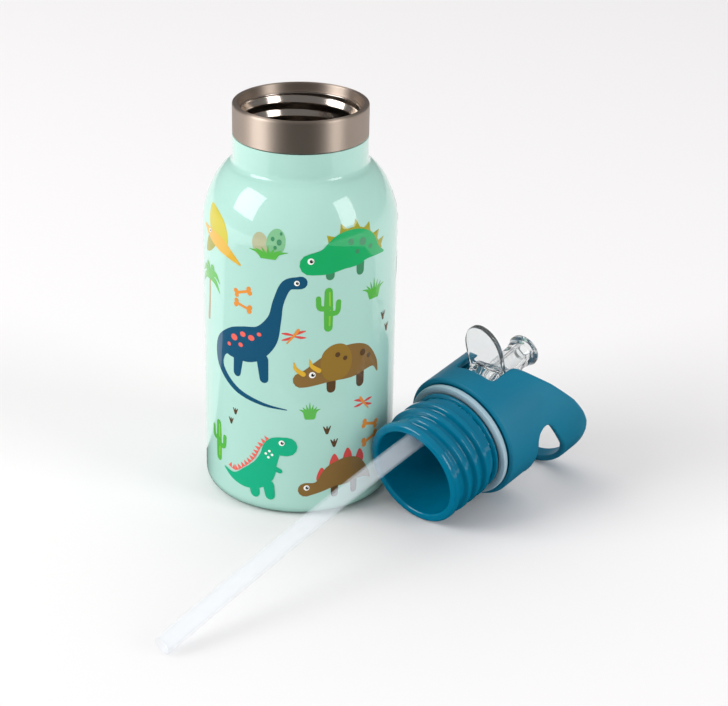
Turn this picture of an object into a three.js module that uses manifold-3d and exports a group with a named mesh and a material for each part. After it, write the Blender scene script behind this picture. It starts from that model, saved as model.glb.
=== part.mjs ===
// A kids' insulated water bottle: a double-walled steel bottle standing up, with its straw lid lying beside it.
// Millimetres, +Z up. The origin is the middle of the bottle's flat base. The lid's axis runs along +X.
import * as THREE from "three";
import { mergeVertices } from "three/addons/utils/BufferGeometryUtils.js";
import Module from "manifold-3d";

const wasm = await Module();
wasm.setup();

// Bottle
const bodyRadius = 35.5; // painted body
const bottleHeight = 148.9; // base to lip
const bandBottom = 137.3; // lower edge of the bare steel neck ring
const neckRadius = 24.5; // painted neck and steel ring, outside
const shoulderTop = 128.3; // where the neck meets the shoulder
const shoulderBottom = 105.5; // where the shoulder meets the straight wall
const shoulderPower = 1.6; // fullness of the shoulder: 2 is a quarter ellipse
const baseCorner = 5.3; // outside radius of the base corner
const shellWall = 0.9;
const linerWall = 0.8;
const linerRadius = 31.8; // outside of the liner body
const linerNeck = 22.4; // outside of the liner neck
const linerFloor = 6.0; // underside of the liner's base
const linerSeam = 14; // where the liner's base cup is welded on
const threadPitch = 5.2;
const threadRise = 1.2; // how far the rolled beads stand into the neck
const gap = 0.3; // clearance between touching pieces

// Lid, in its own frame: z along its axis from the plug's mouth, x to the front, y sideways
const plugMouth = 17.3; // inside radius
const plugRoot = 18.9;
const plugCrest = 20.7;
const plugRidges = 4;
const collarRadius = 24.5;
const collarWall = 2.4;
const collarBottom = 27.9;
const collarFront = 46; // height of the rim at the front
const rimSlope = 0.73; // rise of the slanted rim for each mm towards the back
const loopTop = 75.5;
const loopReach = 33.5; // how far the carry loop stands out behind the axis
const loopStart = 43.7; // rim of the collar below the finger gap
const loopLower = 66; // lower edge of the loop's strap at the back
const deckTop = 37.6;
const deckThick = 1.8;
const pivotX = 15; // the spout's hinge, in front of the axis and above the deck
const pivotZ = 46;
const spoutLean = THREE.MathUtils.degToRad(6); // the open spout leans forward
const hubRadius = 6.6;
const hubHalf = 6.4; // half the width of the spout's hub
const trunnion = 2.0;
const earNear = 9.1; // inner face of the hinge ears, from the middle
const earFar = 11.4;
const earRadius = 3.4;
const tubeRadius = 5.3;
const boreRadius = 2.6;
const tubeLength = 22; // from the hinge to the drinking lip
const lipRadius = 6.5;
const tabHalf = 8.4; // half the width of the thumb tab
const tabReach = 25.6; // from the hinge to the tab's tip
const tabThick = 2.0;
const slotHalf = 8.8; // half the width of the tab's slot in the collar
const strawX = 13.4;
const strawRadius = 3.5;
const strawBore = 2.8;
const strawInner = 32.6; // top of the straw, in its socket
const strawTip = -124; // free end of the straw
const strawDroop = 6.3; // how far the tip has bent towards the table
const socketBottom = 29.2;

// Where the lid lies
const lidTilt = THREE.MathUtils.degToRad(11);
const lidRoll = THREE.MathUtils.degToRad(1);
const lidMouth = new THREE.Vector3(0.7, -56.9, 20.2);

const bigSides = 36;
const midSides = 32;
const smallSides = 16;

// ---------- helpers ----------

function lathe(points, sides = bigSides) {
  const closed = [...points, points[0]].map(([r, z]) => new THREE.Vector2(r, z));
  const geometry = new THREE.LatheGeometry(closed, sides);
  geometry.rotateX(Math.PI / 2); // the profile's height becomes +Z
  return facingOut(geometry);
}

// A lathe of a profile that starts and ends on the axis.
function turned(points, sides = smallSides) {
  const profile = points.map(([r, z]) => new THREE.Vector2(r, z));
  const geometry = new THREE.LatheGeometry(profile, sides);
  geometry.rotateX(Math.PI / 2);
  return facingOut(geometry);
}

// Only the positions, with shared corners merged, and the faces turned outwards.
function facingOut(geometry) {
  const bare = geometry.index ? geometry.toNonIndexed() : geometry.clone();
  for (const name of Object.keys(bare.attributes)) if (name !== "position") bare.deleteAttribute(name);
  const merged = mergeVertices(bare, 1e-4);
  const kept = [];
  for (let i = 0; i < merged.index.count; i += 3) {
    const [a, b, c] = [0, 1, 2].map((k) => merged.index.getX(i + k));
    if (a !== b && b !== c && a !== c) kept.push(a, b, c);
  }
  merged.setIndex(kept);
  if (signedVolume(merged) < 0) {
    for (let i = 0; i < kept.length; i += 3) [kept[i + 1], kept[i + 2]] = [kept[i + 2], kept[i + 1]];
    merged.setIndex(kept);
  }
  return merged;
}

function signedVolume(geometry) {
  const at = (i) => new THREE.Vector3().fromBufferAttribute(geometry.attributes.position, geometry.index.getX(i));
  let sum = 0;
  for (let i = 0; i < geometry.index.count; i += 3) sum += at(i).dot(at(i + 1).cross(at(i + 2)));
  return sum / 6;
}

function solid(geometry) {
  const g = facingOut(geometry);
  const mesh = new wasm.Mesh({
    numProp: 3,
    vertProperties: g.attributes.position.array,
    triVerts: new Uint32Array(g.index.array),
  });
  return new wasm.Manifold(mesh);
}

function geometryOf(manifold) {
  const mesh = manifold.getMesh();
  const geometry = new THREE.BufferGeometry();
  geometry.setAttribute("position", new THREE.BufferAttribute(mesh.vertProperties, 3));
  geometry.setIndex(new THREE.BufferAttribute(mesh.triVerts, 1));
  return geometry;
}

// An outline in the x-z plane, given as [x, z] corners, extruded sideways from y0 to y1.
function sideways(corners, y0, y1) {
  const shape = new THREE.Shape(corners.map(([x, z]) => new THREE.Vector2(x, z)));
  const geometry = new THREE.ExtrudeGeometry(shape, { depth: y1 - y0, bevelEnabled: false });
  geometry.rotateX(Math.PI / 2); // the extrusion now runs along -Y
  geometry.translate(0, y1, 0);
  return geometry;
}

// An outline in the y-z plane, extruded from x0 to x1.
function lengthways(corners, x0, x1) {
  const shape = new THREE.Shape(corners.map(([y, z]) => new THREE.Vector2(y, z)));
  const geometry = new THREE.ExtrudeGeometry(shape, { depth: x1 - x0, bevelEnabled: false });
  geometry.rotateX(Math.PI / 2);
  geometry.rotateZ(Math.PI / 2);
  geometry.translate(x0, 0, 0);
  return geometry;
}

function rod(radius, from, to, x, y, sides = smallSides) {
  const geometry = new THREE.CylinderGeometry(radius, radius, to - from, sides);
  geometry.rotateX(Math.PI / 2);
  geometry.translate(x, y, (from + to) / 2);
  return geometry;
}

function crossRod(radius, halfLength, x, z, sides = smallSides) {
  const geometry = new THREE.CylinderGeometry(radius, radius, 2 * halfLength, sides);
  geometry.translate(x, 0, z);
  return geometry;
}

function arc(cx, cz, radius, from, to, steps) {
  return Array.from({ length: steps + 1 }, (_, i) => {
    const a = THREE.MathUtils.degToRad(from + ((to - from) * i) / steps);
    return [cx + radius * Math.cos(a), cz + radius * Math.sin(a)];
  });
}

function piece(name, geometry, color, roughness, metalness = 0, parent = object) {
  const material = new THREE.MeshStandardMaterial({ color, roughness, metalness });
  const mesh = new THREE.Mesh(geometry, material);
  mesh.name = name;
  parent.add(mesh);
}

// ---------- bottle ----------

// The shoulder between a neck and a wall, from the wall up to the neck.
function shoulder(wall, neck, bottom, top, steps) {
  return Array.from({ length: steps + 1 }, (_, i) => {
    const a = (Math.PI / 2) * (i / steps);
    const out = Math.cos(a) ** (2 / shoulderPower);
    const up = Math.sin(a) ** (2 / shoulderPower);
    return [neck + (wall - neck) * out, bottom + (top - bottom) * up];
  });
}

function outerShell() {
  const cornerX = bodyRadius - baseCorner;
  const outside = [
    [cornerX - gap, 0],
    ...arc(cornerX, baseCorner, baseCorner, -90, 0, 6),
    ...shoulder(bodyRadius, neckRadius, shoulderBottom, shoulderTop, 9),
    [neckRadius, bandBottom - gap],
  ];
  const inside = [
    [neckRadius - shellWall, bandBottom - gap],
    ...shoulder(bodyRadius - shellWall, neckRadius - shellWall, shoulderBottom, shoulderTop, 9).reverse(),
    ...arc(cornerX, baseCorner, baseCorner - shellWall, 0, -90, 6),
    [cornerX - gap, shellWall],
  ];
  return lathe([...outside, ...inside]);
}

// The stamped steel cup that closes the shell from below, with the hole the air is drawn out through.
function outerBase() {
  const cornerX = bodyRadius - baseCorner;
  const radius = baseCorner - shellWall - 0.4;
  const hole = 2;
  return lathe([
    [hole, baseCorner - radius],
    ...arc(cornerX, baseCorner, radius, -90, 0, 3),
    [cornerX + radius, 9],
    [cornerX + radius - linerWall, 9],
    ...arc(cornerX, baseCorner, radius - linerWall, 0, -90, 3),
    [hole, baseCorner - radius + linerWall],
  ]);
}

// A brushed disc set into the base, flush with the shell: the flat face that the bottle stands on.
function baseCap() {
  const radius = bodyRadius - baseCorner - 2 * gap;
  return turned([[0, 0], [radius, 0], [radius, 0.9], [0, 0.9]], bigSides);
}

// The drop of solder glass that seals the vacuum hole.
function sealBead() {
  const foot = 1.4;
  return turned([[0, foot], [1.6, foot], [1.6, 2.6], [1.1, 3.1], [0, 3.3]]);
}

function getterClip() {
  const floor = 2.4;
  const g = lathe([[5.4, floor], [6.3, floor], [6.3, 4.6], [5.4, 4.6]], smallSides);
  g.translate(15, 0, 0);
  return g;
}

function getterPellet() {
  const g = turned([[0, 2.5], [5, 2.5], [5, 4.4], [0, 4.4]]);
  g.translate(15, 0, 0);
  return g;
}

function linerBase() {
  const corner = 6;
  const cx = linerRadius - corner;
  const cz = linerFloor + corner;
  return turned(
    [
      [0, linerFloor],
      ...arc(cx, cz, corner, -90, 0, 3),
      [linerRadius, linerSeam - gap],
      [linerRadius - linerWall, linerSeam - gap],
      ...arc(cx, cz, corner - linerWall, 0, -90, 3),
      [0, linerFloor + linerWall],
    ],
    bigSides,
  );
}

// The liner's wall, shoulder and neck, with the two rolled beads that the lid's ridges screw under.
function innerVessel() {
  const top = bottleHeight - 1.0;
  const inNeck = linerNeck - linerWall;
  const wallTop = shoulderBottom - 1.5;
  const neckFoot = shoulderTop - 2.5;
  const beads = [];
  for (const z of [top - 5.5, top - 5.5 - threadPitch]) {
    beads.push([inNeck, z + 1.3], [inNeck - threadRise, z + 0.4], [inNeck - threadRise, z - 0.4], [inNeck, z - 1.3]);
  }
  return lathe([
    [linerRadius, linerSeam],
    ...shoulder(linerRadius, linerNeck, wallTop, neckFoot, 7),
    [linerNeck, top],
    [inNeck, top],
    ...beads,
    ...shoulder(linerRadius - linerWall, inNeck, wallTop, neckFoot, 7).reverse(),
    [linerRadius - linerWall, linerSeam],
  ]);
}

// The bare steel ring at the top, where the shell and the liner are welded and rolled into the drinking lip.
function neckRing() {
  const inner = linerNeck + gap;
  const lip = 0.7;
  return lathe([
    [inner, bandBottom],
    [neckRadius - 0.2, bandBottom],
    [neckRadius, bandBottom + 0.3],
    ...arc(neckRadius - lip, bottleHeight - lip, lip, 0, 90, 3),
    ...arc(inner + 0.5, bottleHeight - 0.5, 0.5, 90, 180, 2),
  ]);
}

// ---------- lid ----------

// The threaded core of the lid: an open plug below, a wider drum inside the collar, and the deck across its top.
function threadedPlug() {
  const drum = collarRadius - collarWall - 0.4;
  const ridges = [];
  for (let i = 0; i < plugRidges; i++) {
    const z = 1.7 + i * threadPitch;
    const crest = i === 0 ? plugCrest - 0.2 : plugCrest;
    const foot = i === 0 ? 1.7 : 1.9;
    ridges.push([plugRoot, z - foot], [crest, z - 0.6], [crest, z + 0.6], [plugRoot, z + 1.9]);
  }
  ridges[0] = [plugRoot + 0.4, 0];
  const gasketSeat = collarBottom - gap;
  const body = solid(
    lathe(
      [
        [plugMouth, 0.5],
        [plugMouth + 0.6, 0],
        ...ridges,
        [plugRoot, 23.2],
        [plugRoot + 1.2, 23.8],
        [plugRoot + 1.2, 24.8],
        [plugRoot, 25],
        [plugRoot, gasketSeat],
        [drum, collarBottom],
        [drum, deckTop],
        [drum - 2, deckTop - 0.01],
        [drum - 2, socketBottom - gap],
        [plugMouth, socketBottom - 0.7],
      ],
      midSides,
    ),
  );
  const deck = solid(rod(drum - 1, deckTop - deckThick, deckTop, 0, 0, midSides));
  const ears = [-1, 1].map((side) => bearingEar(side)).reduce((a, b) => a.add(b));
  const holes = solid(rod(2.4, deckTop - 4, deckTop + 1, strawX + 0.5, 0)).add(
    solid(rod(1.6, deckTop - 4, deckTop + 1, -12, 0)),
  );
  return geometryOf(body.add(deck).add(ears).subtract(holes));
}

// One of the two ears on the deck that the spout's trunnions turn in.
function bearingEar(side) {
  const outline = [
    [pivotX - earRadius, deckTop - 0.5],
    [pivotX + earRadius, deckTop - 0.5],
    ...arc(pivotX, pivotZ, earRadius, 0, 180, 10),
  ];
  const [y0, y1] = side > 0 ? [earNear, earFar] : [-earFar, -earNear];
  return solid(sideways(outline, y0, y1)).subtract(solid(crossRod(trunnion + gap, earFar + 1, pivotX, pivotZ)));
}

// A ring of points round the lid's axis: a half circle in front, and a half ellipse that reaches `back` behind.
function lidRing(radius, back, z, count = 48) {
  return Array.from({ length: count }, (_, i) => {
    const a = (2 * Math.PI * i) / count;
    const c = Math.cos(a);
    return new THREE.Vector3(c > 0 ? radius * c : back * c, radius * Math.sin(a), z);
  });
}

// A closed solid through rings of equal count, from the lowest to the highest.
function loft(rings) {
  const count = rings[0].length;
  const points = rings.flat();
  const low = new THREE.Vector3(0, 0, rings[0][0].z);
  const high = new THREE.Vector3(0, 0, rings[rings.length - 1][0].z);
  points.push(low, high);
  const index = [];
  for (let i = 0; i < count; i++) {
    const j = (i + 1) % count;
    index.push(points.length - 2, j, i);
    for (let k = 0; k + 1 < rings.length; k++) {
      const [a, b] = [k * count, (k + 1) * count];
      index.push(a + i, a + j, b + j, a + i, b + j, b + i);
    }
    const last = (rings.length - 1) * count;
    index.push(points.length - 1, last + i, last + j);
  }
  const geometry = new THREE.BufferGeometry().setFromPoints(points);
  geometry.setIndex(index);
  return geometry;
}

// How far the collar's outside stands behind the axis at a height: round below, swelling out into the loop.
function backAt(z) {
  const t = THREE.MathUtils.clamp((z - loopStart + 3) / (loopTop - 4 - loopStart), 0, 1);
  return collarRadius + (loopReach - collarRadius) * Math.sin((Math.PI / 2) * t) ** 1.4;
}

// The soft-touch collar: a round skirt with a slanted rim, a slot for the tab, and the carry loop behind.
function lidCollar() {
  const levels = [collarBottom + 0.8, 36, 41, 45, 50, 55, 60, 65, 70, 78];
  const outer = [lidRing(collarRadius - 0.7, collarRadius - 0.7, collarBottom)];
  for (const z of levels) outer.push(lidRing(collarRadius, backAt(z), z));
  const inner = [collarBottom - 1, ...levels.slice(1), 80].map((z) =>
    lidRing(collarRadius - collarWall, backAt(z) - collarWall, z),
  );
  const rimAt = (x) => collarFront + 3 + rimSlope * (collarRadius - x);
  const keep = [
    [30, collarBottom - 2],
    [30, collarFront - 1],
    [24, collarFront + 0.6],
    [20.5, rimAt(20.5)],
    [14, rimAt(14) + 1.6],
    [4, rimAt(4) + 2.2],
    [-4, rimAt(-4) + 1.2],
    [-10, loopTop - 1.6],
    [-15.5, loopTop - 0.3],
    [-21, loopTop],
    [-27, loopTop - 1],
    [-31, loopTop - 3],
    [-34, loopTop - 6.5],
    [-40, loopTop - 16],
    [-40, collarBottom - 2],
  ];
  const fingerGap = [
    [-45, loopStart],
    [-1.5, loopStart],
    [1.2, loopStart + 1],
    [2.4, loopStart + 3.4],
    [2.4, loopStart + 5.6],
    [0.8, loopStart + 7.6],
    [-9, loopLower - 8.9],
    [-15, loopLower - 5],
    [-22, loopLower - 1.6],
    [-29, loopLower],
    [-45, loopLower],
  ];
  const floor = deckTop - gap;
  const slot = [
    [slotHalf, 80],
    [slotHalf, floor + 2],
    ...arc(slotHalf - 2, floor + 2, 2, 0, -90, 3),
    ...arc(2 - slotHalf, floor + 2, 2, -90, -180, 3),
    [-slotHalf, 80],
  ];
  const shell = solid(loft(outer)).subtract(solid(loft(inner)));
  const cut = shell
    .intersect(solid(sideways(keep, -40, 40)))
    .subtract(solid(sideways(fingerGap, -40, 40)))
    .subtract(solid(lengthways(slot, 12, 30)));
  return geometryOf(cut);
}

function neckGasket() {
  const inner = plugRoot + gap;
  const outer = collarRadius - 2.0;
  return lathe(
    [[inner, 25.4], [outer - 0.5, 25.4], [outer, 25.9], [outer, 27.0], [outer - 0.3, 27.3], [inner, 27.3]],
    midSides,
  );
}

// The soft pad that the spout's hub closes against.
function spoutSeal() {
  const g = lathe([[2.7, deckTop + gap], [5.4, deckTop + gap], [5.4, 38.7], [4.8, 39], [2.7, 39]], smallSides);
  g.translate(strawX + 0.5, 0, 0);
  return g;
}

// The soft sleeve under the deck that grips the straw.
function strawSocket() {
  const top = deckTop - deckThick - gap;
  const bore = strawRadius + gap;
  const g = lathe([[bore, socketBottom], [4.9, socketBottom], [4.9, top], [bore, top]], smallSides);
  g.translate(strawX, 0, 0);
  return g;
}

// A one-way valve in the deck that lets air in as the bottle is drunk from.
function ventValve() {
  const g = turned([
    [0, 33.4],
    [1.0, 33.6],
    [1.9, 34.6],
    [1.9, 35.4],
    [1.25, 35.5],
    [1.25, deckTop + gap],
    [3.4, deckTop + gap],
    [3.0, 38.5],
    [1.6, 38.9],
    [0, 39],
  ]);
  g.translate(-12, 0, 0);
  return g;
}

// The spout, with its hinge at the origin: one clear moulding of hub, trunnions, drinking tube and thumb tab.
function spout() {
  const hub = solid(crossRod(hubRadius, hubHalf, 0, 0, 24));
  const trunnions = solid(crossRod(trunnion, earFar - 0.2, 0, 0));
  const tube = turned([
    [0, 0],
    [tubeRadius, 0],
    [tubeRadius - 0.2, tubeLength - 6],
    [tubeRadius + 0.4, tubeLength - 3.4],
    [lipRadius, tubeLength - 1.6],
    [lipRadius - 0.1, tubeLength - 0.5],
    [lipRadius - 0.8, tubeLength],
    [0, tubeLength],
  ]);
  const bore = rod(boreRadius, -hubRadius - 1, tubeLength + 1, 0, 0);
  return geometryOf(hub.add(trunnions).add(solid(tube)).add(thumbTab()).subtract(solid(bore)));
}

// The tab is a flat plate, square to the tube, with a half-round free end.
function thumbTab() {
  const root = 4;
  const roundness = 1.3; // the free end is a half ellipse, a little longer than it is wide
  const end = arc(0, 0, 1, 0, 180, 12).map(([c, s]) => [
    tabHalf * c,
    tabReach + tabHalf * roundness * (s - 1),
  ]);
  const outline = [[-tabHalf, root], [tabHalf, root], ...end];
  const shape = new THREE.Shape(outline.map(([y, x]) => new THREE.Vector2(x, y)));
  const plate = new THREE.ExtrudeGeometry(shape, { depth: tabThick, bevelEnabled: false });
  plate.translate(0, 0, -tabThick / 2);
  return solid(plate);
}

// A soft tube, straight inside the lid and bending down to the table outside it.
function strawRoute() {
  const points = [];
  for (const z of [strawInner, 20, 8]) points.push([strawX, z]);
  const steps = 9;
  for (let i = 0; i <= steps; i++) {
    const t = i / steps;
    points.push([strawX - strawDroop * t ** 1.7, strawTip * t]);
  }
  return new THREE.CatmullRomCurve3(points.map(([x, z]) => new THREE.Vector3(x, 0, z)));
}

function straw() {
  const route = strawRoute();
  const ring = (radius) => new THREE.Shape(arc(0, 0, radius, 0, 330, 11).map(([x, y]) => new THREE.Vector2(x, y)));
  const options = { steps: 18, bevelEnabled: false, extrudePath: route };
  const shape = ring(strawRadius);
  shape.holes.push(ring(strawBore));
  return facingOut(new THREE.ExtrudeGeometry(shape, options));
}

// ---------- the object ----------

const object = new THREE.Group();
piece("outer_shell", outerShell(), 0xaed6cc, 0.25);
piece("outer_base", outerBase(), 0xb8b4ae, 0.4, 1);
piece("base_cap", baseCap(), 0xb8b4ae, 0.35, 1);
piece("seal_bead", sealBead(), 0x3a3a3e, 0.3);
piece("getter_clip", getterClip(), 0xb8b4ae, 0.4, 1);
piece("getter_pellet", getterPellet(), 0x77777a, 0.7, 1);
piece("liner_base", linerBase(), 0xb8b4ae, 0.35, 1);
piece("inner_vessel", innerVessel(), 0xb8b4ae, 0.3, 1);
piece("neck_ring", neckRing(), 0xb3a79c, 0.3, 1);

const lid = new THREE.Group();
const along = new THREE.Vector3(Math.cos(lidTilt), 0, Math.sin(lidTilt));
const front = new THREE.Vector3(-Math.sin(lidTilt), 0, Math.cos(lidTilt));
const side = new THREE.Vector3().crossVectors(along, front);
lid.quaternion.setFromRotationMatrix(new THREE.Matrix4().makeBasis(front, side, along));
lid.rotateZ(lidRoll);
lid.position.copy(lidMouth);
object.add(lid);
piece("lid_collar", lidCollar(), 0x0f7693, 0.55, 0, lid);
piece("threaded_plug", threadedPlug(), 0x006c8a, 0.2, 0, lid);
piece("neck_gasket", neckGasket(), 0x87a3af, 0.6, 0, lid);
piece("spout_seal", spoutSeal(), 0xdde5e6, 0.6, 0, lid);
piece("straw_socket", strawSocket(), 0xdde5e6, 0.6, 0, lid);
piece("vent_valve", ventValve(), 0xdde5e6, 0.6, 0, lid);

const hinge = new THREE.Group();
hinge.position.set(pivotX, 0, pivotZ);
hinge.rotation.y = spoutLean;
lid.add(hinge);
piece("spout", spout(), 0xe6eef0, 0.08, 0, hinge);
piece("straw", straw(), 0xe2e8ea, 0.3, 0, lid);

export default object;
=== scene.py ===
import math

import bmesh
import bpy
import numpy as np
import openvdb
from mathutils import Matrix, Vector
from mathutils.geometry import delaunay_2d_cdt


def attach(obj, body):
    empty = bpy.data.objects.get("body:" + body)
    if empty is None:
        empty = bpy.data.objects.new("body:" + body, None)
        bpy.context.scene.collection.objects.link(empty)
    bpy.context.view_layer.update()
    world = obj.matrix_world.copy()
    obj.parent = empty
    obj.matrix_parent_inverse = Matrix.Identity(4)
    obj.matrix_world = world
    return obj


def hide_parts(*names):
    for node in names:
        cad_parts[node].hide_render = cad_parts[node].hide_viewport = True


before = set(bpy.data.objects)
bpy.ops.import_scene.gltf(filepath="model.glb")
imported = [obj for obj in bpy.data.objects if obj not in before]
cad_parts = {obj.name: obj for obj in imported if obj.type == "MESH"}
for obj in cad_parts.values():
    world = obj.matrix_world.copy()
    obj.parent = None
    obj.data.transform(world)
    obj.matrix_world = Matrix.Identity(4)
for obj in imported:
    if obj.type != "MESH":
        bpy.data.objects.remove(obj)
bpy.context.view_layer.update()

# ---------- studio ----------
# A plain white table under two softboxes, left and right of a camera that looks down a little. A wide light
# overhead only fills the table, so reflections don't show it. A black card in front does the opposite: only
# reflections show it, and it keeps the gloss of the near side dark.

MM = 0.001
CAMERA_PLACE = (-0.4900, -0.4765, 0.3624)
CAMERA_HEADING = 45.8  # degrees from +Y towards +X
CAMERA_ASIDE = 2.02  # the bottle stands left of the view's middle
CAMERA_DOWN = 24.5
CAMERA_ROLL = 1.08
LENS = 98.9
SENSOR_WIDTH = 36
LAMPS_FACE = Vector((0.0, -0.02, 0.08))
ROOM_GLOW = 0.6
ROOM_GLOW_IN_GLOSS = 0.2
TABLE_HALF = 4
TABLE_HEIGHT = -0.0001
CARD_NEAR = -0.02  # the card's two ends, measured from the bottle towards the camera
CARD_FAR = 1.6
CARD_NEAR_HALF = 0.27
CARD_FAR_HALF = 0.6


def srgb(text):
    """An sRGB hex colour as linear values, with an alpha of 1."""
    parts = [int(text[i : i + 2], 16) / 255 for i in (1, 3, 5)]
    return tuple(p / 12.92 if p <= 0.04045 else ((p + 0.055) / 1.055) ** 2.4 for p in parts) + (1.0,)


def add(tree, kind, inputs=None, **settings):
    """Adds a node with its settings, and sets or links its inputs."""
    made = tree.nodes.new(kind)
    for key, value in settings.items():
        setattr(made, key, value)
    for key, value in (inputs or {}).items():
        if isinstance(value, bpy.types.NodeSocket):
            tree.links.new(value, made.inputs[key])
        else:
            made.inputs[key].default_value = value
    return made


def new_material(name):
    """An empty material and its node tree."""
    made = bpy.data.materials.new(name)
    made.use_nodes = True
    made.node_tree.nodes.clear()
    return made, made.node_tree


def surface(tree, shader):
    """Ends a material with its shader."""
    add(tree, "ShaderNodeOutputMaterial", {"Surface": shader.outputs[0]})


def aim(thing, direction):
    """Turns a light to shine along a direction."""
    thing.rotation_euler = Vector(direction).to_track_quat("-Z", "Y").to_euler()


def softbox(name, azimuth, elevation, away, width, height, power, glossy=True):
    """A rectangular lamp that faces the object from a direction given in degrees from +X."""
    a, e = math.radians(azimuth), math.radians(elevation)
    outward = Vector((math.cos(a) * math.cos(e), math.sin(a) * math.cos(e), math.sin(e)))
    lamp = bpy.data.lights.new(name, "AREA")
    lamp.shape, lamp.size, lamp.size_y, lamp.energy = "RECTANGLE", width, height, power
    holder = bpy.data.objects.new(name, lamp)
    bpy.context.scene.collection.objects.link(holder)
    holder.location = LAMPS_FACE + outward * away
    aim(holder, -outward)
    holder.visible_glossy = glossy


heading = Matrix.Rotation(-math.radians(CAMERA_HEADING), 3, "Z")
aside = math.radians(CAMERA_ASIDE)
down = math.radians(CAMERA_DOWN)
ahead = math.cos(down)
forward = heading @ Vector((math.sin(aside) * ahead, math.cos(aside) * ahead, -math.sin(down)))
level = heading @ Vector((math.cos(aside), -math.sin(aside), 0))
upright = level.cross(forward)
roll = math.radians(CAMERA_ROLL)
right = level * math.cos(roll) + upright * math.sin(roll)
upward = upright * math.cos(roll) - level * math.sin(roll)
camera = bpy.data.objects.new("camera", bpy.data.cameras.new("camera"))
bpy.context.scene.collection.objects.link(camera)
camera.matrix_world = Matrix((right, upward, -forward)).transposed().to_4x4()
camera.location = CAMERA_PLACE
camera.data.lens = LENS
camera.data.sensor_width = SENSOR_WIDTH
camera.data.clip_start = 0.01
bpy.context.scene.camera = camera
bpy.context.scene.view_settings.view_transform = "Standard"

softbox("left_softbox", azimuth=149, elevation=29, away=2.0, width=1.13, height=1.13, power=26)
softbox("right_softbox", azimuth=285, elevation=24, away=2.0, width=0.76, height=1.09, power=12.5)
softbox("overhead_fill", azimuth=56, elevation=54, away=3.0, width=5.5, height=5.5, power=44, glossy=False)
world = bpy.data.worlds.new("studio")
bpy.context.scene.world = world
world.use_nodes = True
world.node_tree.nodes.clear()
path = add(world.node_tree, "ShaderNodeLightPath")
glow = add(world.node_tree, "ShaderNodeMapRange", {
    "Value": path.outputs["Is Glossy Ray"], "To Min": ROOM_GLOW, "To Max": ROOM_GLOW_IN_GLOSS})
room = add(world.node_tree, "ShaderNodeBackground", {"Color": srgb("#f9f7f8"), "Strength": glow.outputs[0]})
add(world.node_tree, "ShaderNodeOutputWorld", {"Surface": room.outputs[0]})


def sheet(name, corners, height, colour):
    """A flat matt sheet of the studio."""
    flat = bpy.data.meshes.new(name)
    flat.from_pydata([(x, y, height) for x, y in corners], [], [(0, 1, 2, 3)])
    made = bpy.data.objects.new(name, flat)
    bpy.context.scene.collection.objects.link(made)
    paper, tree = new_material(name + "_paper")
    surface(tree, add(tree, "ShaderNodeBsdfPrincipled", {"Base Color": srgb(colour), "Roughness": 0.85}))
    flat.materials.append(paper)
    return made


table_corners = [(x * TABLE_HALF, y * TABLE_HALF) for x, y in ((-1, -1), (1, -1), (1, 1), (-1, 1))]
sheet("table", table_corners, TABLE_HEIGHT, "#efeeee")
turned = math.radians(CAMERA_HEADING)
toward = Vector((-math.sin(turned), -math.cos(turned)))
beside = Vector((-toward.y, toward.x))
near = toward * CARD_NEAR
far = toward * CARD_FAR
card_corners = [near - beside * CARD_NEAR_HALF, far - beside * CARD_FAR_HALF,
                far + beside * CARD_FAR_HALF, near + beside * CARD_NEAR_HALF]
card = sheet("black_card", card_corners, 0.0, "#0a0a0a")
card.visible_camera = False
card.visible_diffuse = False
card.visible_shadow = False
card.visible_transmission = False

# ---------- outer shell ----------
# A drawn tube of stainless steel, necked in at the shoulder and coated in mint lacquer. The lacquer is
# sprayed and baked, so it lies glossy with a faint orange peel.

BODY_RADIUS = 35.5
NECK_RADIUS = 24.5
SHOULDER_TOP = 128.3
SHOULDER_BOTTOM = 105.5
SHOULDER_FULLNESS = 1.6
BAND_BOTTOM = 137.3
BOTTLE_HEIGHT = 148.9
BASE_CORNER = 5.3
SHELL_WALL = 0.9
SHELL_TOP = BAND_BOTTOM - 0.3
NECK_FOOT = SHOULDER_TOP - 1.5
NECK_FOOT_FILLET = 1.8
CORNER_SHARE = 0.48  # the most of a side that one rounded corner may take
GUARD = 0.25  # a point this far past a rounded corner keeps the side beyond it flat
GUARD_SHARE = 0.02  # on a short side, this part of its length instead


def rounded(corners, steps=6):
    """A closed outline from (x, y, radius) corners, each turned into a smooth curve."""
    outline = []
    for i, (x, y, radius) in enumerate(corners):
        here = Vector((x, y))
        before = Vector(corners[i - 1][:2]) - here
        after = Vector(corners[(i + 1) % len(corners)][:2]) - here
        if radius == 0 or before.length < 1e-6 or after.length < 1e-6:
            outline.append((x, y))
            continue
        half = max(before.angle(after) / 2, 0.05)
        reach = min(radius / math.tan(half), CORNER_SHARE * before.length, CORNER_SHARE * after.length)
        start = here + before.normalized() * reach
        end = here + after.normalized() * reach
        outline.append(tuple(start + before.normalized() * min(GUARD, GUARD_SHARE * before.length)))
        for k in range(steps + 1):
            t = k / steps
            outline.append(tuple((1 - t) ** 2 * start + 2 * t * (1 - t) * here + t * t * end))
        outline.append(tuple(end + after.normalized() * min(GUARD, GUARD_SHARE * after.length)))
    return outline


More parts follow.
